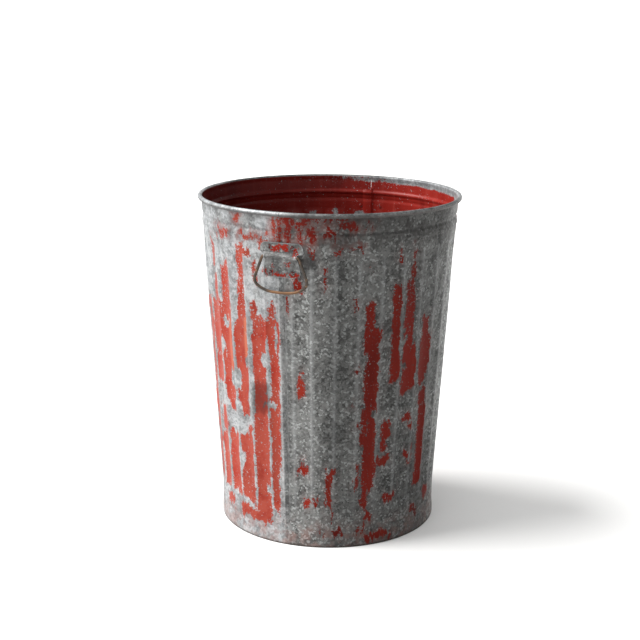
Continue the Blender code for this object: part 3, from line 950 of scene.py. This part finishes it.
def rounded_path(corners, steps):
    """Points along straight runs whose corners, given as (x, z, radius), are rounded."""
    points = [Vector(corners[0][:2])]
    for before, here, after in zip(corners, corners[1:], corners[2:]):
        corner = Vector(here[:2])
        to_before = (Vector(before[:2]) - corner).normalized()
        to_after = (Vector(after[:2]) - corner).normalized()
        half_angle = to_before.angle(to_after) / 2
        reach = here[2] / math.tan(half_angle)
        centre = corner + (to_before + to_after).normalized() * (here[2] / math.sin(half_angle))
        start = corner + to_before * reach - centre
        end = corner + to_after * reach - centre
        for i in range(steps + 1):
            points.append(centre + start.slerp(end, i / steps).normalized() * here[2])
    points.append(Vector(corners[-1][:2]))
    return points


def ear_heights():
    """Heights of the ear's rows, close together where the tunnel and the corners turn."""
    heights = list(np.linspace(EAR_TOP, 0.015, 14)) + list(np.linspace(0.015, 0.007, 8))[1:]
    heights += list(np.linspace(0.007, -0.009, 33))[1:]
    heights += list(np.linspace(-0.009, -0.03, 11))[1:]
    return heights + list(np.linspace(-0.03, EAR_BOTTOM, 11))[1:]


def tunnel_rise(height):
    """Share of the way from the flange to the tunnel's crest."""
    t = abs(height) / TUNNEL_HALF_HEIGHT
    return 0.5 + 0.5 * math.cos(math.pi * t) if t < 1 else 0.0


def dimple(x, height):
    """The ear is pressed in a little round each rivet."""
    depth = 0.0
    for rivet_height in RIVET_HEIGHTS:
        away = math.hypot(abs(x) - RIVET_X, height - rivet_height)
        depth += 0.0003 * max(0.0, 1 - (away / 0.0058) ** 2)
    return depth


def make_ear(name, node, side):
    """Pressed plate with two flanges on the wall and a straight tunnel for the bail between."""
    outline = rounded_path(EAR_OUTLINE, 8)
    drops = [-point.y for point in outline]
    widths = [point.x for point in outline]
    tunnel_y = crest_radius(PIVOT_Z) + TUNNEL_CREST
    columns = 36
    vertices = []
    facts = []
    heights = ear_heights()
    for height in heights:
        half_width = float(np.interp(-height, drops, widths))
        radius = crest_radius(PIVOT_Z + height) + EAR_GAP + EAR_SHEET / 2
        for i in range(columns + 1):
            x = half_width * (2 * i / columns - 1)
            flange_y = math.sqrt(radius ** 2 - x ** 2)
            rise = tunnel_rise(height)
            y = flange_y + (tunnel_y - flange_y) * rise - dimple(x, height)
            vertices.append((-side * x, side * y, PIVOT_Z + height))
            # nearness to the outline, where the ear is painted lighter as highlight and wear
            edge = max(0.0, 1 - (half_width - abs(x)) / 0.0022)
            edge = max(edge, 1 - (EAR_TOP - height) / 0.0016, 1 - (height - EAR_BOTTOM) / 0.0016)
            facts.append((x, height, edge))
    width = columns + 1
    faces = []
    for j in range(len(heights) - 1):
        for i in range(columns):
            corner = j * width + i
            faces.append((corner, corner + width, corner + width + 1, corner + 1))
    mesh = new_mesh(name, vertices, faces)
    across, height, edge = np.array(facts).T
    bare = bar_distance(across, height, EAR_BARE)
    paint = np.minimum(bar_distance(across, height, EAR_PAINT), -bare)
    set_field(mesh, "paint_outer", paint * 100)
    set_field(mesh, "crest", edge)
    mesh.materials.append(EAR)
    ear = add_object(name, mesh, "can")
    thicken(ear, EAR_SHEET)
    bevel = ear.modifiers.new("worn_edges", "BEVEL")
    bevel.width = 0.0003
    bevel.segments = 2
    bevel.angle_limit = math.radians(50)
    bake_modifiers(ear, 40)
    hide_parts(node)


def rivet_place(front, number):
    """Matrix from the rivet's own axes to the can. Odd numbers are on the -x side of an ear."""
    rivet_height = RIVET_HEIGHTS[(number - 1) // 2]
    side = -1 if number % 2 else 1
    z = PIVOT_Z + rivet_height
    turn = math.asin(side * RIVET_X / crest_radius(z)) - math.pi / 2
    if not front:
        turn += math.pi
    normal = Vector((math.cos(turn), math.sin(turn), -TAPER)).normalized()
    point = Vector((math.cos(turn), math.sin(turn), 0)) * crest_radius(z)
    point.z = z
    return Matrix.Translation(point) @ normal.to_track_quat("Z", "X").to_matrix().to_4x4()


def rivet_profile():
    """(radius, height) from the tail to the top of the head."""
    profile = list(RIVET_SHANK)
    for turn in range(90, -1, -15):
        angle = math.radians(turn)
        profile.append((RIVET_HEAD_RADIUS * math.sin(angle),
                        RIVET_HEAD_BASE + RIVET_HEAD_RISE * math.cos(angle)))
    return profile


def make_rivet(front, number, node):
    """Low round-headed rivet with its head on the ear and its upset tail inside the wall."""
    vertices, faces = revolved(rivet_profile(), RIVET_STEPS)
    place = rivet_place(front, number)
    placed = []
    for x, y, z in vertices:
        if z >= RIVET_HEAD_BASE:
            z += 0.00012 * noise.noise(Vector((x * 400, y * 400, number * 3.1)))
        placed.append(place @ Vector((x, y, z)))
    mesh = new_mesh(node + "_look", placed, faces)
    set_field(mesh, "tail", [1.0 if z < 0 else 0.0 for x, y, z in vertices])
    smooth_mesh(mesh, 40)
    mesh.materials.append(RIVET)
    rivet = add_object(node + "_look", mesh, "can")
    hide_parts(node)


def make_bail(name, node, body, side):
    """Bent wire loop, a little uneven, with both ends turned into the ear's tunnel."""
    right_side = rounded_path(BAIL_OUTLINE, 14)
    left_side = [Vector((-point.x, point.y)) for point in right_side]
    path = list(reversed(right_side)) + left_side[1:]
    curve = bpy.data.curves.new(name, "CURVE")
    curve.dimensions = "3D"
    curve.bevel_depth = BAIL_WIRE_RADIUS
    curve.bevel_resolution = 6
    curve.use_fill_caps = True
    spline = curve.splines.new("POLY")
    spline.points.add(len(path) - 1)
    for point, place in zip(spline.points, path):
        hanging = min(1.0, -place.y / 0.02)
        uneven = 0.0005 * hanging * noise.noise(Vector((place.x * 40, place.y * 40, side * 5.0)))
        point.co = (place.x + uneven, 0.0, place.y + uneven, 1)
        point.radius = 1.0 - 0.02 * hanging * noise.noise(Vector((place.x * 90, place.y * 90, 2.0)))
    curve.materials.append(BAIL)
    bail = link_object(name, curve)
    bail.location = (0, side * PIVOT_Y, PIVOT_Z)
    bail.rotation_euler = (0, 0, 0 if side < 0 else math.pi)
    bpy.context.view_layer.update()
    mesh = evaluated_mesh(bail, 60)
    mesh.transform(bail.matrix_world)
    bpy.data.objects.remove(bail)
    wire = add_object(name, mesh, body)
    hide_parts(node)


EAR = make_ear_material()
RIVET = make_rivet_material()
BAIL = make_bail_material()

make_ear("front_ear_look", "front_ear", -1)
make_ear("back_ear_look", "back_ear", 1)
for rivet_number in range(1, 5):
    make_rivet(True, rivet_number, f"front_ear_rivet_{rivet_number}")
    make_rivet(False, rivet_number, f"back_ear_rivet_{rivet_number}")
make_bail("front_bail_look", "front_bail", "front_handle", -1)
make_bail("back_bail_look", "back_bail", "back_handle", 1)


# ---------- bottom and rim wire

def pan_dent(x, y):
    """Dents in the pan's flat floor, in metres."""
    inner = float(1 - smoothstep(0.15, 0.205, math.hypot(x, y)))
    dents = 0.0016 * noise.noise(Vector((x * 9, y * 9, 1.0)))
    dents += 0.0007 * noise.noise(Vector((x * 26, y * 26, 4.0)))
    return inner * (dents - 0.0008)


def make_bottom():
    """Raised bottom pan with a rolled corner, dented by what has been dropped in it."""
    rings = [(point.x, point.y) for point in rounded_path(PAN_OUTLINE, 5)]
    rings += [(radius, PAN_FLOOR) for radius in np.linspace(0.2, 0.012, 30)]
    vertices, faces = revolved(rings, PAN_STEPS)
    faces.append(tuple(range(len(vertices) - PAN_STEPS, len(vertices))))
    vertices = [(x, y, z + pan_dent(x, y)) for x, y, z in vertices]
    mesh = new_mesh("bottom_look", vertices, faces)
    mesh.materials.append(make_pan_material())
    bottom = add_object("bottom_look", mesh, "can")
    thicken(bottom, PAN_SHEET)
    bake_modifiers(bottom, 50)
    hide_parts("bottom_pan")


make_bottom()
rim_wire = frame["nodes"]["rim_wire"]
rim_wire.data.materials.clear()
rim_wire.data.materials.append(make_wire_material())


# ---------- camera, light, floor

CAMERA_AZIMUTH = 20.6
CAMERA_DISTANCE = 2.5408
CAMERA_HEIGHT = 1.0515
CAMERA_PITCH = 14.393
CAMERA_YAW = 0.402
CAMERA_ROLL = 0.353
CAMERA_LENS = 72.98
WORLD_COLOUR = (1.0, 1.0, 0.99, 1.0)
WORLD_STRENGTH = 0.3
# (name, azimuth, elevation, softness, power, colour)
SUNS = (("window", -92, 48, 42, 5.7, (1.0, 0.995, 0.985)),
        ("ceiling", -40, 82, 80, 1.55, (1.0, 1.0, 1.0)))
# (radius, z), inwards
FLOOR_RINGS = ((80, 16), (60, 7), (40, 1.5), (24, 0), (10, 0), (0, 0))
FLOOR_STEPS = 96


def make_camera():
    """Camera at the photograph's viewing angle, looking down at the can."""
    data = bpy.data.cameras.new("camera")
    data.lens = CAMERA_LENS
    data.sensor_width = 36.0
    data.clip_end = 400.0
    camera = link_object("camera", data)
    azimuth = math.radians(CAMERA_AZIMUTH)
    place = Vector((math.sin(azimuth), -math.cos(azimuth), 0)) * CAMERA_DISTANCE
    place.z = CAMERA_HEIGHT
    turn = Matrix.Rotation(math.radians(CAMERA_AZIMUTH + CAMERA_YAW), 4, "Z")
    tilt = Matrix.Rotation(math.radians(90 - CAMERA_PITCH), 4, "X")
    roll = Matrix.Rotation(math.radians(CAMERA_ROLL), 4, "Z")
    camera.matrix_world = Matrix.Translation(place) @ turn @ tilt @ roll
    bpy.context.scene.camera = camera


def make_sun(name, azimuth, elevation, softness, power, colour):
    """Soft far light. Azimuth is counted from the camera's side, to the right."""
    data = bpy.data.lights.new(name, "SUN")
    data.angle = math.radians(softness)
    data.energy = power
    data.color = colour
    light = link_object(name, data)
    turn = math.radians(CAMERA_AZIMUTH + azimuth)
    rise = math.radians(elevation)
    back = Vector((math.sin(turn) * math.cos(rise), -math.cos(turn) * math.cos(rise),
                   math.sin(rise)))
    light.location = back * 4
    light.rotation_euler = back.to_track_quat("Z", "Y").to_euler()


def make_world():
    world = bpy.data.worlds.new("studio")
    world.use_nodes = True
    background = world.node_tree.nodes["Background"]
    background.inputs["Color"].default_value = WORLD_COLOUR
    background.inputs["Strength"].default_value = WORLD_STRENGTH
    bpy.context.scene.world = world


def make_floor():
    """Very large pale floor that rises gently far away, so that it fills the view."""
    vertices, faces = revolved(FLOOR_RINGS, FLOOR_STEPS)
    mesh = new_mesh("floor", vertices, faces)
    mesh.shade_smooth()
    floor = link_object("floor", mesh)
    graph = Graph("pale_floor")
    shade = graph.mix(graph.noise(1.5, 3.0), (0.8, 0.8, 0.795), (0.82, 0.82, 0.815))
    mesh.materials.append(graph.finish(shade, 0.6, 0.0))


make_camera()
make_world()
make_floor()
for sun in SUNS:
    make_sun(*sun)
bpy.context.scene.view_settings.view_transform = "Standard"
